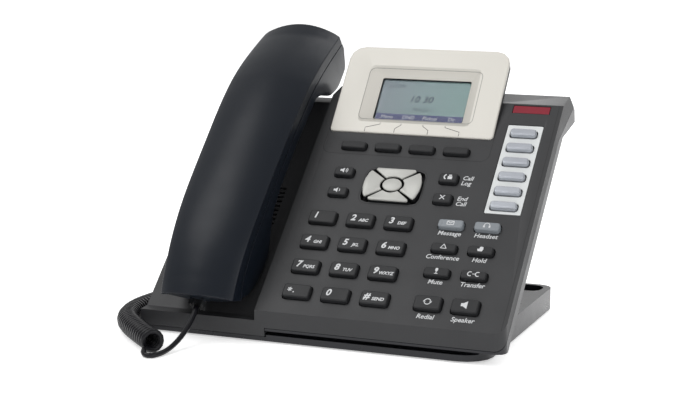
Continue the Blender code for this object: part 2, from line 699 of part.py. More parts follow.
def make_loudspeaker(parent, looks):
    top = -CRADLE_DEPTH - CRADLE_FLOOR - GAP
    levels = (
        (SPEAKER_RADIUS * 0.48, top - 12.0),
        (SPEAKER_RADIUS * 0.48, top - 6.5),
        (SPEAKER_RADIUS * 0.9, top - 2.0),
        (SPEAKER_RADIUS, top - 1.6),
        (SPEAKER_RADIUS, top),
    )
    loops = [at_level(circle((SPEAKER_X, SPEAKER_V), r), n) for r, n in levels]
    solid("loudspeaker", loops, parent, looks["steel"], smooth=True)


def make_hook(parent, looks):
    flange = -CRADLE_DEPTH - CRADLE_FLOOR - GAP - HOOK_RISE
    shaft = rounded((0.0, 0.0), HOOK_SIZE, 1.0)
    wide = rounded((0.0, 0.0), grown(HOOK_SIZE, 1.2), 1.0)
    top = rounded((0.0, 0.0), grown(HOOK_SIZE, -0.8), 1.0)
    loops = [at_level(wide, flange - HOOK_FLANGE), at_level(wide, flange), at_level(shaft, flange)]
    loops.append([(x, v, HOOK_TOP - 1.0 - HOOK_TOP_FALL * v) for x, v in shaft])
    loops.append([(x, v, HOOK_TOP - HOOK_TOP_FALL * v) for x, v in top])
    hook = solid("hook_switch", loops, parent, looks["black_plastic"])
    hook.location = (HOOK_X * MM, HOOK_V * MM, 0)


def make_stand(frame, upright_frame, looks):
    a = math.radians(TILT)
    under = SLAB_DEPTH + GAP

    def slope_y(z, depth):
        return (depth + (z - FACE_FRONT_Z) * math.cos(a)) / math.sin(a)

    def belly_z(y):
        return FACE_FRONT_Z + (-BELLY_DEPTH - GAP + y * math.sin(a)) / math.cos(a)

    middle = ((STAND_LEFT + STAND_RIGHT) / 2, (STAND_FRONT_Y + STAND_REAR_Y) / 2)
    size = (STAND_RIGHT - STAND_LEFT, STAND_REAR_Y - STAND_FRONT_Y)
    plan = rounded(middle, size, (FRONT_CORNER, REAR_CORNER, REAR_CORNER, 2.0), 4)
    stand = upright("stand", plan, FOOT_HEIGHT, STAND_HEIGHT, upright_frame, looks["graphite"])
    wedge = [
        (STAND_FRONT_Y - 2.0, LIP_Z),
        (slope_y(LIP_Z, under), LIP_Z),
        (slope_y(STAND_HEIGHT + 4.0, under), STAND_HEIGHT + 4.0),
        (STAND_FRONT_Y - 2.0, STAND_HEIGHT + 4.0),
    ]
    cut(stand, across("stand_wedge", wedge, STAND_LEFT - 1, STAND_RIGHT + 1, upright_frame))
    cut(stand, box(
        "skirt_clearance", (STAND_LEFT - 1, PANEL_WALL + 2 * GAP), (STAND_FRONT_Y - 1, WALL + GAP),
        (SKIRT_FOOT_Z - GAP - 0.2, STAND_HEIGHT), upright_frame,
    ))
    deck = STAND_HEIGHT - WALL
    hollow = [
        (STAND_FRONT_Y + WALL, FOOT_HEIGHT - 1),
        (TROUGH_Y[0] - 2 * WALL, FOOT_HEIGHT - 1),
        (TROUGH_Y[0] - 2 * WALL, deck),
        (slope_y(deck, under + WALL) + 0.6, deck),
        (slope_y(LIP_Z - 1.6, under) + 1.2, LIP_Z - 1.6),
        (STAND_FRONT_Y + WALL, LIP_Z - 1.6),
    ]
    cut(stand, across("stand_hollow", hollow, STAND_LEFT + 3, STAND_RIGHT - 12, upright_frame))
    trough_size = (size[0] - 8.0, TROUGH_Y[1] - TROUGH_Y[0])
    trough = rounded((middle[0], sum(TROUGH_Y) / 2), trough_size, 6.0, 3)
    cut(stand, upright("trough", trough, TROUGH_FLOOR_Z, STAND_HEIGHT + 1, upright_frame))
    front, rear = RISER_FRONT_Y, RISER_REAR_Y
    side = [
        (front, STAND_HEIGHT - 1.0),
        (rear, STAND_HEIGHT - 1.0),
        (rear - 4.0, belly_z(rear - 4.0)),
        (front, belly_z(front)),
    ]
    add(stand, across("riser", side, RISER_LEFT, RISER_RIGHT, upright_frame))
    channel = [
        (front + RISER_WALL, STAND_HEIGHT),
        (rear + 5, STAND_HEIGHT),
        (rear + 5, belly_z(rear) + 20.0),
        (front + RISER_WALL, belly_z(rear) + 20.0),
    ]
    sides = (RISER_LEFT + RISER_WALL, RISER_RIGHT - RISER_WALL)
    cut(stand, across("riser_channel", channel, *sides, upright_frame))
    for name, x in lug_places():
        add(stand, box(name, x, LUG_V, (-BELLY_DEPTH - 1.0, -BELLY_DEPTH + 1.5), frame))
    for i, (x, y) in enumerate(FEET):
        height = TROUGH_FLOOR_Z - 1 if y > TROUGH_Y[0] - 8 else deck + 1
        add(stand, upright(f"foot_{i}", circle((x, y), FOOT_RADIUS, 20), 0.0, height, upright_frame))


def station_at(v):
    """The handset's section values at any distance up the slope."""
    for a, b in zip(HANDSET_STATIONS, HANDSET_STATIONS[1:]):
        if a[0] <= v <= b[0]:
            t = (v - a[0]) / (b[0] - a[0])
            return (v, *(p + (q - p) * t for p, q in zip(a[1:5], b[1:5])), 0.0, 0.0)
    return HANDSET_STATIONS[-1]


def handset_section(station, inset, lower_side, bulge):
    """One loop round a shell, or round its hollow where inset is the wall's thickness."""
    v, edge, half, band, inner, seam_up, inner_up = station
    seam = edge - band
    wide = half - inset
    across_x = [wide * (1 - 2 * i / CROWN_STEPS) for i in range(CROWN_STEPS + 1)]
    if lower_side:
        top = seam - GAP if inset == 0 else seam + 3.0
        low = inner + inset
        corner = min(LOWER_CORNER, max(0.3, (seam - low) * 0.4))
        loop = [(x, v + seam_up + 0.3 * (seam_up > 0), top) for x in across_x]
        loop.append((-wide, v + inner_up, low + corner))
        loop += [(-x * (wide - corner) / wide, v + inner_up, low) for x in across_x]
        loop.append((wide, v + inner_up, low + corner))
    else:
        foot = seam if inset == 0 else seam - 3.0
        loop = [(x, v, edge - inset + CROWN * (1 - (x / wide) ** 2)) for x in across_x]
        loop += [(-x, v + seam_up, foot) for x in across_x]
    return [(x, y + bulge * (1 - (x / half) ** 2), n) for x, y, n in loop]


def handset_solid(name, parent, inset, lower_side, look=None):
    stations = HANDSET_STATIONS
    if inset:
        between = [s for s in HANDSET_STATIONS if HOLLOW_FIRST + 1 < s[0] < HOLLOW_LAST - 1]
        stations = [station_at(HOLLOW_FIRST), *between, station_at(HOLLOW_LAST)]
    loops = []
    for i, station in enumerate(stations):
        bulge = MOUTH_BULGE if i == 0 else EAR_BULGE if i == len(stations) - 1 else 0.0
        loops.append(handset_section(station, inset, lower_side, 0.0 if inset else bulge))
    return solid(name, loops, parent, look, smooth=inset == 0, strips=True)


def make_handset(parent, looks):
    width, height, length = PLUG_SIZE
    for name, lower_side in (("handset_upper_shell", False), ("handset_lower_shell", True)):
        shell = handset_solid(name, parent, 0.0, lower_side, looks["handset"])
        cut(shell, box(
            f"{name}_jack", (-width / 2 - JACK_CLEARANCE, width / 2 + JACK_CLEARANCE),
            (PLUG_FOOT_V - 6.0, PLUG_FOOT_V + length + 1.0),
            (PLUG_N - height / 2 - JACK_CLEARANCE, PLUG_N + height / 2 + JACK_CLEARANCE), parent,
        ))
        cut(shell, handset_solid(f"{name}_hollow", parent, HANDSET_WALL, lower_side))
    wide, low = RECEIVER_RADIUS, RECEIVER_N
    levels = ((wide, low), (wide, low + 3.0), (wide - 3.0, low + RECEIVER_THICK))
    loops = [at_level(circle((0.0, RECEIVER_V), r), n) for r, n in levels]
    solid("handset_receiver", loops, parent, looks["black_plastic"], smooth=True)
    low = MICROPHONE_N
    disc = circle((0.0, MICROPHONE_V), MICROPHONE_RADIUS, 16)
    upright("handset_microphone", disc, low, low + MICROPHONE_THICK, parent, looks["steel"])
    box(
        "handset_plug", (-width / 2, width / 2), (PLUG_FOOT_V, PLUG_FOOT_V + length),
        (PLUG_N - height / 2, PLUG_N + height / 2), parent, looks["clear"],
    )


def smooth_curve(points, spacing):
    """Evenly spaced points along a smooth curve through the given ones."""
    dense = []
    padded = [points[0], *points, points[-1]]
    for i in range(1, len(padded) - 2):
        a, b, c, d = (Vector(padded[i + k]) for k in (-1, 0, 1, 2))
        for step in range(24):
            t = step / 24
            dense.append(
                0.5 * (2 * b + (c - a) * t + (2 * a - 5 * b + 4 * c - d) * t * t
                       + (3 * b - 3 * c + d - a) * t ** 3)
            )
    dense.append(Vector(points[-1]))
    walked = [0.0]
    for a, b in zip(dense, dense[1:]):
        walked.append(walked[-1] + (b - a).length)
    count = max(2, round(walked[-1] / spacing))
    made, at = [], 0
    for i in range(count + 1):
        target = walked[-1] * i / count
        while at < len(walked) - 2 and walked[at + 1] < target:
            at += 1
        span = walked[at + 1] - walked[at]
        made.append(dense[at].lerp(dense[at + 1], (target - walked[at]) / span if span else 0.0))
    return made


def tube(name, points, radius, resolution, spacing, parent, look):
    curve = bpy.data.curves.new(name, "CURVE")
    curve.dimensions = "3D"
    curve.bevel_depth = radius * MM
    curve.bevel_resolution = resolution
    curve.use_fill_caps = True
    curve.materials.append(look)
    line = smooth_curve(points, spacing)
    spline = curve.splines.new("POLY")
    spline.points.add(len(line) - 1)
    for point, place in zip(spline.points, line):
        point.co = (*(place * MM), 1.0)
    made = bpy.data.objects.new(name, curve)
    made.parent = parent
    bpy.context.scene.collection.objects.link(made)
    return made


def cord_routes():
    """The three stretches of the cord, in the body's upright frame."""
    start = world_point(HANDSET_X, PLUG_FOOT_V - GAP, PLUG_N)
    bend = world_point(HANDSET_X, PLUG_FOOT_V - 5.5, PLUG_N - 0.3)
    lead = [
        start, bend, (-28.3, -20.5, 8.6), (-29.0, -30.0, 4.2), (-29.9, -40.0, 1.9),
        (-31.8, -48.0, 1.45), (-34.8, -50.0, 1.45), (-37.6, -48.4, 1.6), (-38.6, -46.2, 2.4),
        (-38.6, -44.4, 3.2),
    ]
    coil = [
        (-36.4, -40.3, 6.2), (-44.0, -33.4, 6.2), (-51.6, -26.0, 6.2), (-59.8, -17.6, 6.2),
        (-66.8, -9.4, 6.2), (-72.2, -0.4, 6.2), (-75.4, 9.5, 6.2), (-76.8, 20.0, 6.2),
        (-76.6, 30.0, 6.2), (-75.4, 42.0, 6.2), (-74.4, 55.0, 6.2), (-74.0, 70.0, 6.2),
        (-74.0, 85.0, 6.2), (-74.0, 100.0, 6.2), (-74.0, 112.0, 6.2),
    ]
    jack = world_point(BELLY_LEFT - BASE_PLUG_OUT - GAP, BASE_JACK_V, BASE_JACK_N)
    tail = [
        (-74.2, 112.8, 2.4), (-74.4, 120.0, 1.5), (-70.6, 126.0, 1.45), (-67.0, 120.0, 1.45),
        (-66.3, 108.0, 1.45), (-66.2, 94.0, 1.45), (-66.2, 80.0, 1.5), (-66.2, 68.0, 3.0), (-66.0, 59.0, 8.0),
        (-64.8, 50.8, 16.0), (-61.6, 46.2, 24.0), (jack[0] - 4.5, jack[1] + 0.6, jack[2] - 0.6), jack,
    ]
    return lead, coil, tail


def make_cord(frame, upright_frame, looks):
    lead, coil, tail = cord_routes()
    tube("cord_lead", lead, CORD_RADIUS, 2, 6.0, upright_frame, looks["cord"])
    tube("cord_coil", coil, COIL_RADIUS, 3, 9.0, upright_frame, looks["cord"])
    tube("cord_tail", tail, CORD_RADIUS, 2, 6.0, upright_frame, looks["cord"])
    width, height, length = PLUG_SIZE
    left = BELLY_LEFT - BASE_PLUG_OUT
    box(
        "base_plug", (left, left + length), (BASE_JACK_V - width / 2, BASE_JACK_V + width / 2),
        (BASE_JACK_N - height / 2, BASE_JACK_N + height / 2), frame, looks["clear"],
    )


def make_looks():
    return {
        "charcoal": material("charcoal_plastic", (0.062, 0.064, 0.068), 0.42),
        "graphite": material("graphite_plastic", (0.05, 0.052, 0.056), 0.45),
        "handset": material("handset_plastic", (0.07, 0.073, 0.078), 0.35),
        "keycap": material("keycap_plastic", (0.045, 0.046, 0.05), 0.4),
        "light_key": material("light_key_plastic", (0.55, 0.6, 0.68), 0.3),
        "silver": material("silver_plastic", (0.66, 0.64, 0.6), 0.32, 0.1),
        "black_plastic": material("black_plastic", (0.02, 0.02, 0.022), 0.5),
        "silicone": material("keypad_silicone", (0.2, 0.2, 0.21), 0.7),
        "board": material("board_laminate", (0.02, 0.12, 0.06), 0.45),
        "clear": material("clear_plastic", (0.8, 0.82, 0.84), 0.08),
        "card": material("label_card", (0.7, 0.72, 0.74), 0.6),
        "lcd": material("lcd_glass", (0.35, 0.42, 0.42), 0.25),
        "red": material("lamp_red", (0.35, 0.01, 0.03), 0.2),
        "steel": material("speaker_steel", (0.4, 0.4, 0.42), 0.35, 0.8),
        "cord": material("cord_jacket", (0.03, 0.03, 0.034), 0.45),
    }


def empty(name, parent=None, place=(0, 0, 0), turn=0.0):
    made = bpy.data.objects.new(name, None)
    made.parent = parent
    made.location = Vector(place) * MM
    made.rotation_euler = (math.radians(turn), 0, 0)
    bpy.context.scene.collection.objects.link(made)
    return made


def centre(phone):
    """Moves the phone so that its box, without the cord, stands centred on the origin."""
    bpy.context.view_layer.update()
    graph = bpy.context.evaluated_depsgraph_get()
    low, high = Vector((9, 9, 9)), Vector((-9, -9, -9))
    for obj in bpy.data.objects:
        if obj.type != "MESH" or obj.hide_render or obj.name.endswith("_plug"):
            continue
        evaluated = obj.evaluated_get(graph)
        mesh = evaluated.to_mesh()
        for vertex in mesh.vertices:
            place = evaluated.matrix_world @ vertex.co
            low = Vector(map(min, low, place))
            high = Vector(map(max, high, place))
        evaluated.to_mesh_clear()
    phone.location = (-(low.x + high.x) / 2, -(low.y + high.y) / 2, -low.z)


def main():
    for old in list(bpy.data.objects):
        bpy.data.objects.remove(old, do_unlink=True)
    looks = make_looks()
    phone = empty("phone")
    face = empty("face_frame", phone, (0, 0, FACE_FRONT_Z), TILT)
    display = empty("display_frame", face, (0, *DISPLAY_BASE), DISPLAY_TURN)
    handset = empty("handset_frame", face, (HANDSET_X, 0, 0))
    holes = make_keys(face, looks)
    make_top_cover(face, display, phone, looks, holes)
    make_bottom_cover(face, phone, looks)
    make_label_card(face, looks)
    make_circuit(face, looks)
    make_display(display, looks)
    make_lamp(face, looks)
    make_loudspeaker(face, looks)
    make_hook(face, looks)
    make_stand(face, phone, looks)
    make_handset(handset, looks)
    make_cord(face, phone, looks)
    centre(phone)


main()
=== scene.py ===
import json
import math

import bmesh
import bpy
from mathutils import Matrix, Vector


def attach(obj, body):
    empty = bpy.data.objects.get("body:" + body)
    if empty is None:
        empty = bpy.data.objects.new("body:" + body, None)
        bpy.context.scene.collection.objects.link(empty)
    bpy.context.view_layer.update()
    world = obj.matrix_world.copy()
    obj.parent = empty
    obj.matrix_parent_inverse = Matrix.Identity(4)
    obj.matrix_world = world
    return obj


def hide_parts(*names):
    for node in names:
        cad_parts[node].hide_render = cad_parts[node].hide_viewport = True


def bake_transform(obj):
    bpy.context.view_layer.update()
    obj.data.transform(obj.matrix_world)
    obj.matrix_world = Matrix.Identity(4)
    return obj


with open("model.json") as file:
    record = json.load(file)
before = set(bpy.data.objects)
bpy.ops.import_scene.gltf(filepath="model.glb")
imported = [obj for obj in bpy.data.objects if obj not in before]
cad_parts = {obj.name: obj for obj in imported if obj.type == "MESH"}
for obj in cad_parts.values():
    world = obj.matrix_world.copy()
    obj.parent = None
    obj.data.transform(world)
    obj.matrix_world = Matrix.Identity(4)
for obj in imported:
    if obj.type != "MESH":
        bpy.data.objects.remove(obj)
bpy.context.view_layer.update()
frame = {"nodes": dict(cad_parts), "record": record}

# Sizes in millimetres, in the face's own frame: x to the right, v up the slope, n out of the face
MM = 0.001
TILT = math.radians(43.2)
FACE_FRONT_Z = 16.8
DISPLAY_TURN = math.radians(7.8)
SHIFT = Vector((-33.4, -62.48, 0.0))  # from the body's own left and front edges to the row frame

DIAL_X, DIAL_V = 19.9, 60.7  # centre of key 1
DIAL_PITCH_X, DIAL_PITCH_V = 21.0, 15.94
PAD_CENTRE = (52.0, 84.9)
FUNCTION_X = (89.9, 109.2)
FUNCTION_V = (62.3, 47.2, 31.9, 13.2)
LABEL_V = (57.4, 42.2, 26.9, 5.9)
KEY_TOP = 2.52
PRINT_THICK = 0.02
PANEL = (5.3, 99.2, 105.4, 160.0, 5.0)  # x and v limits of the display panel's line, and its corner radius
PANEL_REAR = 146.0
LCD_TOP = -5.97  # along the display's own upright axis
LCD_THICK = 0.24

FACE = Matrix.Translation((SHIFT + Vector((0, 0, FACE_FRONT_Z))) * MM) @ Matrix.Rotation(TILT, 4, "X")
DISPLAY = FACE @ Matrix.Translation((0, 0.1204, 0.0008)) @ Matrix.Rotation(DISPLAY_TURN, 4, "X")


# Camera

def add_camera():
    place = (Vector((335.49, -745.94, 208.53)) + SHIFT) * MM
    yaw, pitch, roll = (math.radians(a) for a in (20.84, 9.35, 0.6))
    forward = Vector((-math.sin(yaw) * math.cos(pitch), math.cos(yaw) * math.cos(pitch), -math.sin(pitch)))
    level = Vector((math.cos(yaw), math.sin(yaw), 0))
    above = level.cross(forward)
    right = level * math.cos(roll) + above * math.sin(roll)
    up = above * math.cos(roll) - level * math.sin(roll)
    turn = Matrix((right, up, -forward)).transposed().to_4x4()
    data = bpy.data.cameras.new("camera")
    data.lens = 84.5
    data.sensor_width = 36
    camera = bpy.data.objects.new("camera", data)
    camera.matrix_world = Matrix.Translation(place) @ turn
    bpy.context.scene.collection.objects.link(camera)
    bpy.context.scene.camera = camera


# Materials

SHINE = {
    "handset plastic": 0.22,
    "graphite plastic": 0.35,
    "keycap plastic": 0.3,
    "cord jacket": 0.25,
    "charcoal plastic": 0.45,
}


def plastic(name, colour, roughness, grain=0.02, grain_size=3000.0, spread=0.08, metallic=0.0, clear=0.0):
    """Moulded plastic with a fine grain in its surface and a little wear in its gloss."""
    made = bpy.data.materials.new(name)
    made.use_nodes = True
    tree = made.node_tree
    shader = tree.nodes["Principled BSDF"]
    shader.inputs["Base Color"].default_value = (*colour, 1)
    shader.inputs["Metallic"].default_value = metallic
    shader.inputs["Transmission Weight"].default_value = clear
    shader.inputs["Specular IOR Level"].default_value = SHINE.get(name, 0.5)
    if clear == 1.0:
        shader.inputs["IOR"].default_value = 1.1
    place = tree.nodes.new("ShaderNodeTexCoord")
    grains = tree.nodes.new("ShaderNodeTexNoise")
    grains.inputs["Scale"].default_value = grain_size
    grains.inputs["Detail"].default_value = 3
    bump = tree.nodes.new("ShaderNodeBump")
    bump.inputs["Strength"].default_value = grain
    bump.inputs["Distance"].default_value = 0.0002
    cloud = tree.nodes.new("ShaderNodeTexNoise")
    cloud.inputs["Scale"].default_value = 60
    cloud.inputs["Detail"].default_value = 6
    gloss = tree.nodes.new("ShaderNodeMapRange")
    gloss.inputs["To Min"].default_value = max(0.02, roughness - spread)
    gloss.inputs["To Max"].default_value = roughness + spread
    link = tree.links.new
    link(place.outputs["Object"], grains.inputs["Vector"])
    link(place.outputs["Object"], cloud.inputs["Vector"])
    link(grains.outputs["Fac"], bump.inputs["Height"])
    link(bump.outputs["Normal"], shader.inputs["Normal"])
    link(cloud.outputs["Fac"], gloss.inputs["Value"])
    link(gloss.outputs["Result"], shader.inputs["Roughness"])
    return made


LOOKS = {
    "charcoal_plastic": plastic("charcoal plastic", (0.022, 0.0225, 0.0245), 0.5, 0.25),
    "graphite_plastic": plastic("graphite plastic", (0.014, 0.0145, 0.018), 0.3, 0.12),
    "handset_plastic": plastic("handset plastic", (0.005, 0.0075, 0.0125), 0.34, 0.18),
    "keycap_plastic": plastic("keycap plastic", (0.014, 0.0145, 0.016), 0.45, 0.12),
    "light_key_plastic": plastic("light key plastic", (0.42, 0.44, 0.48), 0.25, 0.05, 3000, 0.08, 0.5),
    "silver_plastic": plastic("silver paint", (0.62, 0.6, 0.55), 0.42, 0.1, 5000, 0.05, 0.1),
    "black_plastic": plastic("black plastic", (0.02, 0.02, 0.022), 0.5, 0.2),
    "keypad_silicone": plastic("keypad silicone", (0.05, 0.05, 0.055), 0.7, 0.1),
    "board_laminate": plastic("board laminate", (0.02, 0.12, 0.06), 0.4, 0.1),
    "clear_plastic": plastic("clear plastic", (0.9, 0.92, 0.94), 0.02, 0.0, 3000, 0.0, clear=1.0),
    "label_card": plastic("label card", (0.7, 0.72, 0.72), 0.6, 0.1),
    "lcd_glass": plastic("display edge", (0.08, 0.09, 0.09), 0.3, 0.02),
    "lamp_red": plastic("lamp red", (0.22, 0.008, 0.022), 0.2, 0.03),
    "speaker_steel": plastic("speaker steel", (0.4, 0.4, 0.42), 0.35, 0.1, metallic=0.8),
    "cord_jacket": plastic("cord jacket", (0.004, 0.004, 0.006), 0.3, 0.05),
}
PRINT = plastic("white print", (0.62, 0.63, 0.64), 0.6, 0.02)
SMOKY = plastic("smoky key plastic", (0.2, 0.22, 0.24), 0.25, 0.05)
# Near-black for painted shade in the face's grooves, and for the display's printed pointer lines
GROOVE_SHADE_AND_INK = plastic("groove shade and pointer ink", (0.008, 0.008, 0.009), 0.6, 0.02)


def screen_material():
    """The display's picture: grey at the left, greener towards the right."""
    made = bpy.data.materials.new("display picture")
    made.use_nodes = True
    tree = made.node_tree
    shader = tree.nodes["Principled BSDF"]
    place = tree.nodes.new("ShaderNodeTexCoord")
    parts = tree.nodes.new("ShaderNodeSeparateXYZ")
    ramp = tree.nodes.new("ShaderNodeValToRGB")
    ramp.color_ramp.elements[0].color = (0.2, 0.235, 0.255, 1)
    ramp.color_ramp.elements[1].color = (0.215, 0.34, 0.31, 1)
    scale = tree.nodes.new("ShaderNodeMapRange")
    scale.inputs["From Min"].default_value = 0.025
    scale.inputs["From Max"].default_value = 0.08
    link = tree.links.new
    link(place.outputs["Object"], parts.inputs["Vector"])
    link(parts.outputs["X"], scale.inputs["Value"])
    link(scale.outputs["Result"], ramp.inputs["Fac"])
    link(ramp.outputs["Color"], shader.inputs["Base Color"])
    shader.inputs["Roughness"].default_value = 0.25
    return made


# Shapes

def add_mesh(name, points, faces, matrix, look, body="base", smooth=False):
    mesh = bpy.data.meshes.new(name)
    mesh.from_pydata([tuple(Vector(p) * MM) for p in points], [], faces)
    work = bmesh.new()
    work.from_mesh(mesh)
    bmesh.ops.recalc_face_normals(work, faces=work.faces)
    work.to_mesh(mesh)
    work.free()
    if smooth:
        mesh.shade_smooth()
        mesh.set_sharp_from_angle(angle=math.radians(40))
    mesh.materials.append(look)
    made = bpy.data.objects.new(name.replace(" ", "_"), mesh)
    bpy.context.scene.collection.objects.link(made)
    made.matrix_world = matrix
    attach(made, body)
    return made


def add_text(name, words, size, place, matrix, look, body="base", bold=0.0):
    """Raised print, centred on a point of the face."""
    curve = bpy.data.curves.new(name, "FONT")
    curve.body = words
    curve.size = size * MM
    curve.align_x = "CENTER"
    curve.align_y = "CENTER"
    curve.extrude = 0.00002
    curve.offset = bold * MM
    curve.shear = 0.18
    curve.resolution_u = 3
    text = bpy.data.objects.new(name + " outline", curve)
    bpy.context.scene.collection.objects.link(text)
    bpy.context.view_layer.update()
    graph = bpy.context.evaluated_depsgraph_get()
    mesh = bpy.data.meshes.new_from_object(text.evaluated_get(graph))
    bpy.data.objects.remove(text)
    mesh.materials.clear()
    mesh.materials.append(look)
    made = bpy.data.objects.new(name.replace(" ", "_"), mesh)
    bpy.context.scene.collection.objects.link(made)
    made.matrix_world = matrix @ Matrix.Translation(Vector(place) * MM)
    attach(made, body)
    return made


def ribbon(name, line, width, height, matrix, look, closed=False):
    """A flat strip along a line of (x, v) points of the face."""
    points, faces = [], []
    count = len(line)
    for i, here in enumerate(line):
        before = Vector(line[i - 1] if closed or i else here)
        after = Vector(line[(i + 1) % count] if closed or i < count - 1 else here)
        along = (after - before).normalized()
        side = Vector((-along.y, along.x)) * width / 2
        for n in (height - 0.05, height):
            points.append((here[0] + side.x, here[1] + side.y, n))
            points.append((here[0] - side.x, here[1] - side.y, n))
    for i in range(count if closed else count - 1):
        a, b = 4 * i, 4 * ((i + 1) % count)
        faces += [(a, b, b + 1, a + 1), (a + 2, a + 3, b + 3, b + 2)]
        faces += [(a, a + 2, b + 2, b), (a + 1, b + 1, b + 3, a + 3)]
    if not closed:
        last = 4 * (count - 1)
        faces += [(0, 1, 3, 2), (last, last + 2, last + 3, last + 1)]
    return add_mesh(name, points, faces, matrix, look)


def round_box(x0, x1, v0, v1, radius, steps=6):
    line = []
    for turn, (cx, cv) in enumerate(((x1 - radius, v0 + radius), (x1 - radius, v1 - radius),
                                     (x0 + radius, v1 - radius), (x0 + radius, v0 + radius))):
        for step in range(steps + 1):
            a = math.radians(-90 + 90 * turn + 90 * step / steps)
            line.append((cx + radius * math.cos(a), cv + radius * math.sin(a)))
    return line


# Cord

def smooth_line(points, spacing):
    dense = []
    padded = [points[0], *points, points[-1]]
    for i in range(1, len(padded) - 2):
        a, b, c, d = (Vector(padded[i + k]) for k in (-1, 0, 1, 2))
        for step in range(24):
            t = step / 24
            dense.append(0.5 * (2 * b + (c - a) * t + (2 * a - 5 * b + 4 * c - d) * t * t
                                + (3 * b - 3 * c + d - a) * t ** 3))
    dense.append(Vector(points[-1]))
    walked = [0.0]
    for a, b in zip(dense, dense[1:]):
        walked.append(walked[-1] + (b - a).length)
    count = max(2, round(walked[-1] / spacing))
    made, at = [], 0
    for i in range(count + 1):
        target = walked[-1] * i / count
        while at < len(walked) - 2 and walked[at + 1] < target:
            at += 1
        span = walked[at + 1] - walked[at]
        made.append(dense[at].lerp(dense[at + 1], (target - walked[at]) / span if span else 0.0))
    return made


def face_point(x, v, n):
    """A point of the face's frame in the body's upright frame."""
    sine, cosine = math.sin(TILT), math.cos(TILT)
    return (x, v * cosine - n * sine, FACE_FRONT_Z + v * sine + n * cosine)


COIL_PITCH = 3.05
COIL_TURN_RADIUS = 4.6
WIRE = 1.35


def cord_line():
    """Centre line of the whole cord, from the handset's plug to the base's."""
    lead = [
        face_point(-28, -6.1, 7.2), face_point(-28, -11.5, 6.9), (-28.3, -20.5, 8.6), (-29.0, -30.0, 4.2),
        (-29.9, -40.0, 1.9), (-31.8, -48.0, 1.5), (-34.8, -50.0, 1.5), (-37.8, -48.2, 1.7),
        (-39.2, -45.6, 3.0),
    ]
    coil = [
        (-36.4, -40.3, 6.2), (-44.0, -33.4, 6.2), (-51.6, -26.0, 6.2), (-59.8, -17.6, 6.2),
        (-66.8, -9.4, 6.2), (-72.2, -0.4, 6.2), (-75.4, 9.5, 6.2), (-76.8, 20.0, 6.2),
        (-76.6, 30.0, 6.2), (-75.4, 42.0, 6.2), (-74.4, 55.0, 6.2), (-74.0, 70.0, 6.2),
        (-74.0, 85.0, 6.2), (-74.0, 100.0, 6.2), (-74.0, 112.0, 6.2),
    ]
    jack = face_point(-52.0, 40.0, -21.0)
    tail = [
        (-74.4, 120.0, 1.5), (-70.6, 126.0, 1.45), (-67.0, 120.0, 1.45),
        (-66.3, 108.0, 1.45), (-66.2, 94.0, 1.45), (-66.2, 80.0, 1.5), (-66.2, 68.0, 3.0), (-66.0, 59.0, 8.0),
        (-64.8, 50.8, 16.0), (-61.6, 46.2, 24.0), (jack[0] - 4.5, jack[1] + 0.6, jack[2] - 0.6), jack,
    ]
    per_turn = 14
    axis = smooth_line(coil, COIL_PITCH / per_turn)
    turns = []
    for i, centre in enumerate(axis[2:-2], 2):
        along = (axis[i + 2] - axis[i - 2]).normalized()
        side = along.cross(Vector((0, 0, 1))).normalized()
        up = side.cross(along)
        a = math.radians(200) + 2 * math.pi * i / per_turn
        turns.append(centre + (side * math.cos(a) + up * math.sin(a)) * COIL_TURN_RADIUS)
    lead_line = smooth_line([*lead, turns[0]], 2.4)[:-1]
    tail_line = smooth_line([turns[-1], *tail], 2.4)[1:]
    return [(p + SHIFT) * MM for p in (*lead_line, *turns, *tail_line)]


def add_cord():
    line = cord_line()
    points, faces, ring = [], [], 10
    side = Vector((1, 0, 0))
    for i, here in enumerate(line):
        along = (line[min(i + 1, len(line) - 1)] - line[max(i - 1, 0)]).normalized()
        side = (side - along * side.dot(along)).normalized()
        up = along.cross(side)
        for k in range(ring):
            a = 2 * math.pi * k / ring
            points.append((here + (side * math.cos(a) + up * math.sin(a)) * WIRE * MM) / MM)
    for i in range(len(line) - 1):
        for k in range(ring):
            j = (k + 1) % ring
            faces.append((i * ring + k, i * ring + j, (i + 1) * ring + j, (i + 1) * ring + k))
    faces += [tuple(range(ring)), tuple(range(len(points) - ring, len(points)))]
    mesh = bpy.data.meshes.new("handset cord")
    mesh.from_pydata([tuple(p * MM) for p in points], [], faces)
    work = bmesh.new()
    work.from_mesh(mesh)
    bmesh.ops.recalc_face_normals(work, faces=work.faces)
    work.to_mesh(mesh)
    work.free()
    mesh.shade_smooth()
    mesh.materials.append(LOOKS["cord_jacket"])
    made = bpy.data.objects.new("handset_cord", mesh)
    bpy.context.scene.collection.objects.link(made)
    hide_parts("cord_lead", "cord_coil", "cord_tail")
    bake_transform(made)


# Handset

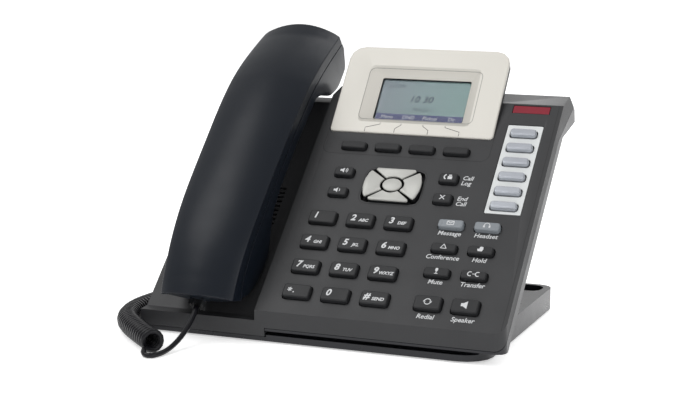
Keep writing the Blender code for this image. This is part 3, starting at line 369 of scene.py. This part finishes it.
STATIONS = (
    (-3.0, 11.3, 20.4, 8.0, 2.0, 5.4, 6.6), (4.0, 14.4, 20.7, 8.0, -0.2, 2.4, 2.8),
    (12.0, 17.0, 21.0, 7.6, -4.4, 0.0, 0.0), (24.0, 20.1, 21.7, 7.0, -7.6, 0.0, 0.0),
    (36.0, 22.0, 22.3, 6.6, -7.2, 0.0, 0.0), (46.0, 23.0, 22.7, 6.5, -1.0, 0.0, 0.0),
    (58.0, 23.6, 23.0, 6.5, 6.0, 0.0, 0.0), (76.0, 23.9, 23.2, 6.5, 8.4, 0.0, 0.0),
    (100.0, 23.9, 23.5, 6.5, 8.8, 0.0, 0.0), (118.0, 23.4, 23.8, 6.5, 8.2, 0.0, 0.0),
    (134.0, 22.0, 23.9, 6.5, 7.4, 0.0, 0.0), (144.0, 20.2, 23.9, 6.5, 1.8, 0.0, 0.0),
    (154.0, 17.8, 23.8, 6.5, -9.2, 0.0, 0.0), (166.0, 14.2, 23.6, 6.5, -14.0, 0.0, 0.0),
    (177.0, 10.5, 23.4, 6.5, -14.4, 0.0, 0.0), (184.0, 8.0, 23.2, 6.5, -5.0, 0.0, 0.0),
)
CROWN = 5.5
ACROSS = 16


def fine_stations():
    """The handset's sections, five to each of the main ones, on a curve that doesn't overshoot them."""
    values = [list(s) for s in STATIONS]
    slopes = []
    for i, here in enumerate(values):
        row = []
        for k in range(7):
            if i in (0, len(values) - 1):
                row.append(0.0)
                continue
            before, after = values[i - 1], values[i + 1]
            left = (here[k] - before[k]) / (here[0] - before[0])
            right = (after[k] - here[k]) / (after[0] - here[0])
            row.append(2 * left * right / (left + right) if left * right > 0 else 0.0)
        slopes.append(row)
    for k in range(7):
        for i, j in ((0, 1), (len(values) - 1, len(values) - 2)):
            slopes[i][k] = (values[i][k] - values[j][k]) / (values[i][0] - values[j][0])
    fine = []
    for i in range(len(values) - 1):
        span = values[i + 1][0] - values[i][0]
        for step in range(5):
            t = step / 5
            row = [values[i][0] + span * t]
            for k in range(1, 7):
                a, b = values[i][k], values[i + 1][k]
                leaving = slopes[i][k] * (t ** 3 - 2 * t ** 2 + t)
                arriving = slopes[i + 1][k] * (t ** 3 - t ** 2)
                between = a * (2 * t ** 3 - 3 * t ** 2 + 1) + b * (3 * t ** 2 - 2 * t ** 3)
                row.append(between + span * (leaving + arriving))
            fine.append(row)
    return [*fine, values[-1]]


def add_handset():
    fine = fine_stations()
    for name, lower in (("handset back", False), ("handset inner side", True)):
        loops = []
        for i, (v, edge, half, band, inner, seam_up, inner_up) in enumerate(fine):
            bulge = -2.0 * max(0.0, 1 - (v + 3) / 7) + 3.5 * max(0.0, 1 - (184 - v) / 7)
            seam = edge - band
            xs = [half * (1 - 2 * k / ACROSS) for k in range(ACROSS + 1)]
            if lower:
                top = seam - 0.3
                corner = min(3.0, max(0.3, (seam - inner) * 0.4))
                loop = [(x, v + seam_up + 0.3 * (seam_up > 0), top) for x in xs]
                left = []
                for a in (math.radians(degrees) for degrees in (0, 30, 60, 90)):
                    reach = corner - corner * math.cos(a)
                    left.append((-half + reach, inner + corner - corner * math.sin(a)))
                loop += [(x, v + inner_up, n) for x, n in left]
                loop += [(-x * (half - corner) / half, v + inner_up, inner) for x in xs[1:-1]]
                loop += [(-x, v + inner_up, n) for x, n in reversed(left)]
            else:
                loop = []
                for x in xs:
                    t = abs(x) / half
                    loop.append((x, v, edge + CROWN * (1 - t * t) - 0.5 * max(0.0, (t - 0.9) / 0.1)))
                loop += [(-x, v + seam_up, seam) for x in xs]
            loops.append([(x, y + bulge * (1 - (x / half) ** 2), n) for x, y, n in loop])
        count = len(loops[0])
        points = [p for loop in loops for p in loop]
        faces = []
        for level in range(len(loops) - 1):
            low, high = level * count, (level + 1) * count
            for i in range(count):
                j = (i + 1) % count
                faces.append((low + i, low + j, high + j, high + i))
        last = len(points) - count
        for base in (0, last):
            if lower:
                faces.append(tuple(range(base, base + count)))
            else:
                end = base + count
                faces += [(base + i, base + i + 1, end - 2 - i, end - 1 - i) for i in range(ACROSS)]
        matrix = FACE @ Matrix.Translation((-0.028, 0, 0))
        look = LOOKS["handset_plastic"]
        made = add_mesh(name, points, faces, matrix, look, "handset", True)
        soften(made, 0.6, 3)
        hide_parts("handset_lower_shell" if lower else "handset_upper_shell")


def soften(obj, width, segments=2, angle=30):
    bevel = obj.modifiers.new("soft edges", "BEVEL")
    bevel.width = width * MM
    bevel.segments = segments
    bevel.limit_method = "ANGLE"
    bevel.angle_limit = math.radians(angle)
    bevel.harden_normals = True


# CAD pieces, with softened edges

WIDTHS = {"top_cover": 0.45, "bottom_cover": 0.4, "stand": 0.5, "display_bezel": 0.3, "main_board": 0.1}


def finish_nodes():
    slots = {part["node"]: part["material_slot"] for part in frame["record"]["subparts"]}
    bodies = {n: b for b, nodes in frame["record"]["behaviour"]["bodies"].items() for n in nodes}
    done = {"cord_lead", "cord_coil", "cord_tail", "handset_upper_shell", "handset_lower_shell"}
    done |= {f"nav_{side}_key" for side in ("up", "down", "left", "right", "ok")}
    for name, node in sorted(frame["nodes"].items()):
        if name in done:
            continue
        mesh = node.data.copy()
        mesh.name = name + " finish"
        work = bmesh.new()
        work.from_mesh(mesh)
        bmesh.ops.remove_doubles(work, verts=work.verts, dist=0.000005)
        bmesh.ops.dissolve_limit(work, angle_limit=math.radians(0.8), verts=work.verts, edges=work.edges)
        work.to_mesh(mesh)
        work.free()
        mesh.materials.clear()
        mesh.materials.append(SMOKY if name in ("message_key", "headset_key") else LOOKS[slots[name]])
        mesh.shade_smooth()
        mesh.set_sharp_from_angle(angle=math.radians(30))
        made = bpy.data.objects.new(f"finished_{name}", mesh)
        bpy.context.scene.collection.objects.link(made)
        made.matrix_world = node.matrix_world.copy()
        soften(made, WIDTHS.get(name, 0.25 if "key" in name else 0.15))
        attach(made, bodies[name])
        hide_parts(name)


# Navigation pad

# Painted shade: a darker copy of the silver paint, so the pad's caps render duller than the other silver
# parts
PAD_SHADED_SILVER = plastic("pad paint", (0.47, 0.47, 0.445), 0.4, 0.1, 5000, 0.05, 0.1)


def pad_piece(side, outline):
    """A key with a silver cap that has a rounded edge, its silver darkened as painted shade, and a dark skirt
    under it.
    """
    count = len(outline)
    middle = Vector((sum(p[0] for p in outline) / count, sum(p[1] for p in outline) / count))
    place = FACE @ Matrix.Translation(Vector((*PAD_CENTRE, 0)) * MM)
    kinds = (("skirt", "keycap_plastic", ((0.1, -3.4), (0.1, 1.3))),
             ("cap", "silver_plastic", ((0.0, 1.2), (0.0, 1.8), (0.12, 2.05), (0.45, 2.2))))
    for kind, look, levels in kinds:
        points, faces = [], []
        for inset, n in levels:
            for x, v in outline:
                way = Vector((x, v)) - middle
                short = way * (1 - inset / way.length)
                points.append((middle.x + short.x, middle.y + short.y, n))
        for level in range(len(levels) - 1):
            low, high = level * count, (level + 1) * count
            for i in range(count):
                j = (i + 1) % count
                faces.append((low + i, low + j, high + j, high + i))
        faces += [tuple(range(count)), tuple(range(len(points) - count, len(points)))]
        # The caps take the darker, painted-shade copy of the silver
        piece_look = PAD_SHADED_SILVER if kind == "cap" else LOOKS[look]
        made = add_mesh(f"pad {side} {kind}", points, faces, place, piece_look, f"body_nav_{side}_key", True)
        if kind == "cap":
            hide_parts(f"nav_{side}_key")


def oval_points(oval, degrees):
    """Points on an oval of these half sizes, at these angles."""
    return [(oval[0] * math.cos(math.radians(a)), oval[1] * math.sin(math.radians(a))) for a in degrees]


def add_pad():
    oval = (5.3, 4.1)
    pad_piece("ok", oval_points(oval, range(0, 360, 10)))
    wide = (oval[0] + 1.4, oval[1] + 1.3)
    up = []
    for a in (math.radians(degrees) for degrees in range(-40, 41, 8)):
        up.append((wide[0] * math.sin(a), wide[1] * math.cos(a)))
    up += [(11.0, 9.3), (11.0, 10.0), (10.4, 10.6), (-10.4, 10.6), (-11.0, 10.0), (-11.0, 9.3)]
    side = oval_points(wide, range(40, -41, -8))
    side += [(13.0, -8.6), (13.7, -8.4), (14.6, -7.0), (15.7, -3.0), (15.9, 0)]
    side += [(15.7, 3.0), (14.6, 7.0), (13.7, 8.4), (13.0, 8.6)]
    pad_piece("up", up)
    pad_piece("down", [(x, -v) for x, v in up])
    pad_piece("right", side)
    pad_piece("left", [(-x, v) for x, v in side])


# Print on the keys and the face

DIAL = (("1", ""), ("2", "ABC"), ("3", "DEF"), ("4", "GHI"), ("5", "JKL"), ("6", "MNO"),
        ("7", "PQRS"), ("8", "TUV"), ("9", "WXYZ"), ("star", ""), ("0", ""), ("hash", "SEND"))


def add_icon(name, shapes, place, look, body):
    """A small sign made of flat shapes, each a list of (x, v) points."""
    points, faces = [], []
    for shape in shapes:
        start, count = len(points), len(shape)
        for n in (0.0, 0.03):
            points += [(x, v, n) for x, v in shape]
        faces += [tuple(range(start, start + count)), tuple(range(start + count, start + 2 * count))]
        for i in range(count):
            j = (i + 1) % count
            faces.append((start + i, start + j, start + count + j, start + count + i))
    add_mesh(name, points, faces, FACE @ Matrix.Translation(Vector(place) * MM), look, body)


def arc(radius, start, end, width=0.35, centre=(0.0, 0.0)):
    """A curved stroke as one shape."""
    turns = [start + (end - start) * i / 8 for i in range(9)]
    outer = oval_points((radius + width, radius + width), turns)
    inner = oval_points((radius, radius), reversed(turns))
    return [(centre[0] + x, centre[1] + v) for x, v in outer + inner]


def bar(x0, v0, x1, v1, width=0.4):
    """A straight stroke as one shape."""
    along, up = Vector((x1 - x0, v1 - v0)).normalized() * width / 2
    return [(x0 + up, v0 - along), (x1 + up, v1 - along), (x1 - up, v1 + along), (x0 - up, v0 + along)]


HORN = [(-2.0, -0.6), (-1.0, -0.6), (0.2, -1.6), (0.2, 1.6), (-1.0, 0.6), (-2.0, 0.6)]
ICONS = {
    "volume_up": [HORN, arc(0.9, -50, 50, 0.35, (0.3, 0)), arc(1.7, -50, 50, 0.35, (0.3, 0))],
    "volume_down": [HORN, arc(0.9, -50, 50, 0.35, (0.3, 0))],
    "call_log": [arc(1.2, 110, 250, 0.7, (-0.6, 0)), [(-0.2, -1.4), (2.2, -1.4), (2.2, 0.5), (-0.2, 0.5)],
                 [(0.2, 0.8), (1.8, 0.8), (1.8, 1.5), (0.2, 1.5)]],
    "end_call": [bar(-1.3, -1.3, 1.3, 1.3, 0.5), bar(-1.3, 1.3, 1.3, -1.3, 0.5)],
    "message": [bar(-1.8, -1.1, 1.8, -1.1), bar(-1.8, 1.1, 1.8, 1.1), bar(-1.8, -1.1, -1.8, 1.1),
                bar(1.8, -1.1, 1.8, 1.1), bar(-1.8, 1.1, 0, -0.2), bar(1.8, 1.1, 0, -0.2)],
    "headset": [arc(1.3, -20, 200, 0.35), [(-1.9, -1.3), (-1.0, -1.3), (-1.0, 0), (-1.9, 0)],
                [(1.0, -1.3), (1.9, -1.3), (1.9, 0), (1.0, 0)]],
    "conference": [bar(-1.6, -1.2, 0, 1.5), bar(1.6, -1.2, 0, 1.5), bar(-1.6, -1.1, 1.6, -1.1)],
    "hold": [[(-1.2, -1.2), (1.0, -1.2), (1.5, 0.2), (1.3, 1.5), (0.9, 1.5), (0.6, 1.7), (0.2, 1.6),
              (-0.4, 1.5), (-0.6, 0.3), (-1.7, 0.2)]],
    "mute": [[(-0.5, -0.2), (0.5, -0.2), (0.7, 0.4), (0.7, 1.4), (0.3, 1.8), (-0.3, 1.8), (-0.7, 1.4),
              (-0.7, 0.4)],
             bar(0, -0.3, 0, -1.6, 0.4), bar(-0.9, -1.6, 0.9, -1.6, 0.35)],
    "transfer": [arc(1.0, 60, 300, 0.5, (-1.8, 0)), arc(1.0, 60, 300, 0.5, (2.2, 0)),
                 bar(-0.6, 0, 0.8, 0, 0.35)],
    "redial": [arc(1.4, 20, 160, 0.45), arc(1.4, 200, 340, 0.45), [(1.0, 0.2), (2.4, 0.2), (1.7, -0.9)],
               [(-1.0, -0.2), (-2.4, -0.2), (-1.7, 0.9)]],
    "speaker": [[(-2.0, -0.9), (-0.9, -0.9), (1.2, -2.2), (1.2, 2.2), (-0.9, 0.9), (-2.0, 0.9)]],
}


FUNCTIONS = ("Message", "Headset", "Conference", "Hold", "Mute", "Transfer", "Redial", "Speaker")
SIDE_LABELS = (("call", "Call", 91.4, 93.6), ("log", "Log", 91.0, 90.2), ("end", "End", 91.4, 80.0),
               ("call_again", "Call", 91.4, 76.6))


def add_star(x, v, body):
    rays = []
    for a in (0.3, 1.35, 2.4):
        across, up = 1.3 * math.cos(a), 1.3 * math.sin(a)
        rays.append(bar(-across, -up, across, up, 0.5))
    rays.append(bar(1.9, -1.5, 2.6, -1.5, 0.7))
    add_icon("digit star", rays, (x - 3.6, v + 0.3, KEY_TOP - PRINT_THICK), PRINT, body)


def add_dial_print():
    for i, (key, letters) in enumerate(DIAL):
        x, v = DIAL_X + DIAL_PITCH_X * (i % 3), DIAL_V - DIAL_PITCH_V * (i // 3)
        body = f"body_dial_key_{key}"
        if key == "star":
            add_star(x, v, body)
            continue
        sign, back = ("#", 4.0) if key == "hash" else (key, 3.6)
        add_text(f"digit {key}", sign, 5.3, (x - back, v + 0.3, KEY_TOP), FACE, PRINT, body, 0.16)
        if letters:
            add_text(f"letters {key}", letters, 2.6, (x + 2.2, v - 0.9, KEY_TOP), FACE, PRINT, body, 0.08)


def add_print():
    add_dial_print()
    labels = []
    places = {"volume_up": (23.1, 91.8), "volume_down": (23.1, 78.3)}
    places |= {"call_log": (81.4, 91.8), "end_call": (81.4, 78.3)}
    for i, words in enumerate(FUNCTIONS):
        x = FUNCTION_X[i % 2]
        labels.append((words.lower(), words, x, LABEL_V[i // 2]))
        places[words.lower()] = (x, FUNCTION_V[i // 2])
    for name, words, x, v in (*labels, *SIDE_LABELS):
        add_text(f"label {name}", words, 3.7, (x, v, 0.03), FACE, PRINT, bold=0.05)
    for name, (x, v) in places.items():
        add_icon(f"icon {name}", ICONS[name], (x, v + 0.2, KEY_TOP - PRINT_THICK), PRINT, f"body_{name}_key")


def add_grooves():
    """Painted shade: dark strips laid along the grooves where the face's panels meet."""
    corners = round_box(*PANEL)
    panel = [(PANEL[0], PANEL_REAR), *corners[21:28], *corners[:7], (PANEL[1], PANEL_REAR)]
    # Painted shade along the grooves, as flat dark strips just over the face
    ribbon("panel groove shade", panel, 0.35, 0.02, FACE, GROOVE_SHADE_AND_INK)
    ribbon("edge groove shade", [(129.7, 2.0), (129.7, PANEL_REAR)], 0.35, 0.02, FACE, GROOVE_SHADE_AND_INK)
    ribbon("pad line", round_box(34.8, 69.2, 72.8, 97.0, 5.0), 0.3, 0.02, FACE, GROOVE_SHADE_AND_INK, True)


def add_display():
    outline = round_box(27.3, 78.1, 11.9, 38.5, 0.6, 2)
    points = [(x, s, LCD_TOP) for x, s in outline] + [(x, s, LCD_TOP - LCD_THICK) for x, s in outline]
    count = len(outline)
    faces = [tuple(range(count)), tuple(range(count, 2 * count))]
    faces += [(i, (i + 1) % count, count + (i + 1) % count, count + i) for i in range(count)]
    add_mesh("display picture", points, faces, DISPLAY, screen_material())
    rim = round_box(20.2, 85.3, 8.6, 42.2, 3.0, 4)
    shade = plastic("rim shade", (0.16, 0.16, 0.15), 0.5, 0.02)
    ribbon("funnel edge", rim, 0.25, 0.03, DISPLAY, shade, True)
    ink = plastic("display ink", (0.02, 0.03, 0.06), 0.4, 0.01)
    level = -5.925
    add_text("display time", "10 30", 6.0, (51.5, 26.2, level), DISPLAY, ink, bold=0.05)
    add_text("display line", "Ext 200", 3.0, (36.0, 34.6, level), DISPLAY, ink)
    add_text("display date", "Mon Jun 1", 3.0, (54.0, 19.8, level), DISPLAY, ink)
    strip = [(27.6, 12.2), (77.8, 12.2), (77.8, 16.4), (27.6, 16.4)]
    points = [(x, s, m) for m in (-5.965, -5.95) for x, s in strip]
    faces = [(3, 2, 1, 0), (4, 5, 6, 7), (0, 1, 5, 4), (1, 2, 6, 5), (2, 3, 7, 6), (3, 0, 4, 7)]
    indigo = plastic("display indigo", (0.05, 0.055, 0.17), 0.3, 0.01)
    add_mesh("display bar", points, faces, DISPLAY, indigo)
    for i, words in enumerate(("Menu", "DND", "Pickup", "Dir")):
        add_text(f"soft label {i}", words, 3.2, (34.2 + 12.4 * i, 14.3, level), DISPLAY, PRINT)
    for i, (top_x, foot_x) in enumerate(((34.0, 26.0), (46.0, 43.0), (58.5, 62.0), (71.0, 79.5))):
        line = [(top_x, 6.6), (top_x, 5.6), (foot_x, 3.2), (foot_x, 0.6)]
        ribbon(f"pointer {i}", line, 0.3, 0.03, DISPLAY, GROOVE_SHADE_AND_INK)


# Stage

def add_stage():
    mesh = bpy.data.meshes.new("floor")
    side = 6.0
    corners = [(-side, -side, 0), (side, -side, 0), (side, side, 0), (-side, side, 0)]
    mesh.from_pydata(corners, [], [(0, 1, 2, 3)])
    floor = bpy.data.objects.new("floor", mesh)
    made = bpy.data.materials.new("floor white")
    made.use_nodes = True
    shader = made.node_tree.nodes["Principled BSDF"]
    shader.inputs["Base Color"].default_value = (0.94, 0.94, 0.94, 1)
    shader.inputs["Roughness"].default_value = 0.6
    shader.inputs["Emission Color"].default_value = (1, 1, 1, 1)
    shader.inputs["Emission Strength"].default_value = 0.5
    mesh.materials.append(made)
    bpy.context.scene.collection.objects.link(floor)
    for name, place, aim, size, power in (
        ("key light", (-0.7, -0.5, 1.3), (0, 0, 0.05), 0.9, 8),
        ("fill light", (1.2, -0.7, 0.7), (0, 0, 0.05), 0.8, 3.5),
        ("back light", (0.1, 1.2, 1.0), (0, 0, 0.1), 0.9, 9),
    ):
        data = bpy.data.lights.new(name, "AREA")
        data.size = size
        data.energy = power
        lamp = bpy.data.objects.new(name, data)
        lamp.location = place
        lamp.rotation_euler = (Vector(place) - Vector(aim)).to_track_quat("Z", "Y").to_euler()
        bpy.context.scene.collection.objects.link(lamp)
    world = bpy.data.worlds.new("world")
    bpy.context.scene.world = world
    world.use_nodes = True
    tree = world.node_tree
    tree.nodes["Background"].inputs["Color"].default_value = (1, 1, 1, 1)
    rays = tree.nodes.new("ShaderNodeLightPath")
    level = tree.nodes.new("ShaderNodeMapRange")
    level.inputs["To Min"].default_value = 0.62
    level.inputs["To Max"].default_value = 1.35
    tree.links.new(rays.outputs["Is Camera Ray"], level.inputs["Value"])
    tree.links.new(level.outputs["Result"], tree.nodes["Background"].inputs["Strength"])


add_camera()
add_cord()
add_handset()
finish_nodes()
add_pad()
add_print()
add_grooves()
add_display()
add_stage()
bpy.context.scene.view_settings.view_transform = "Standard"
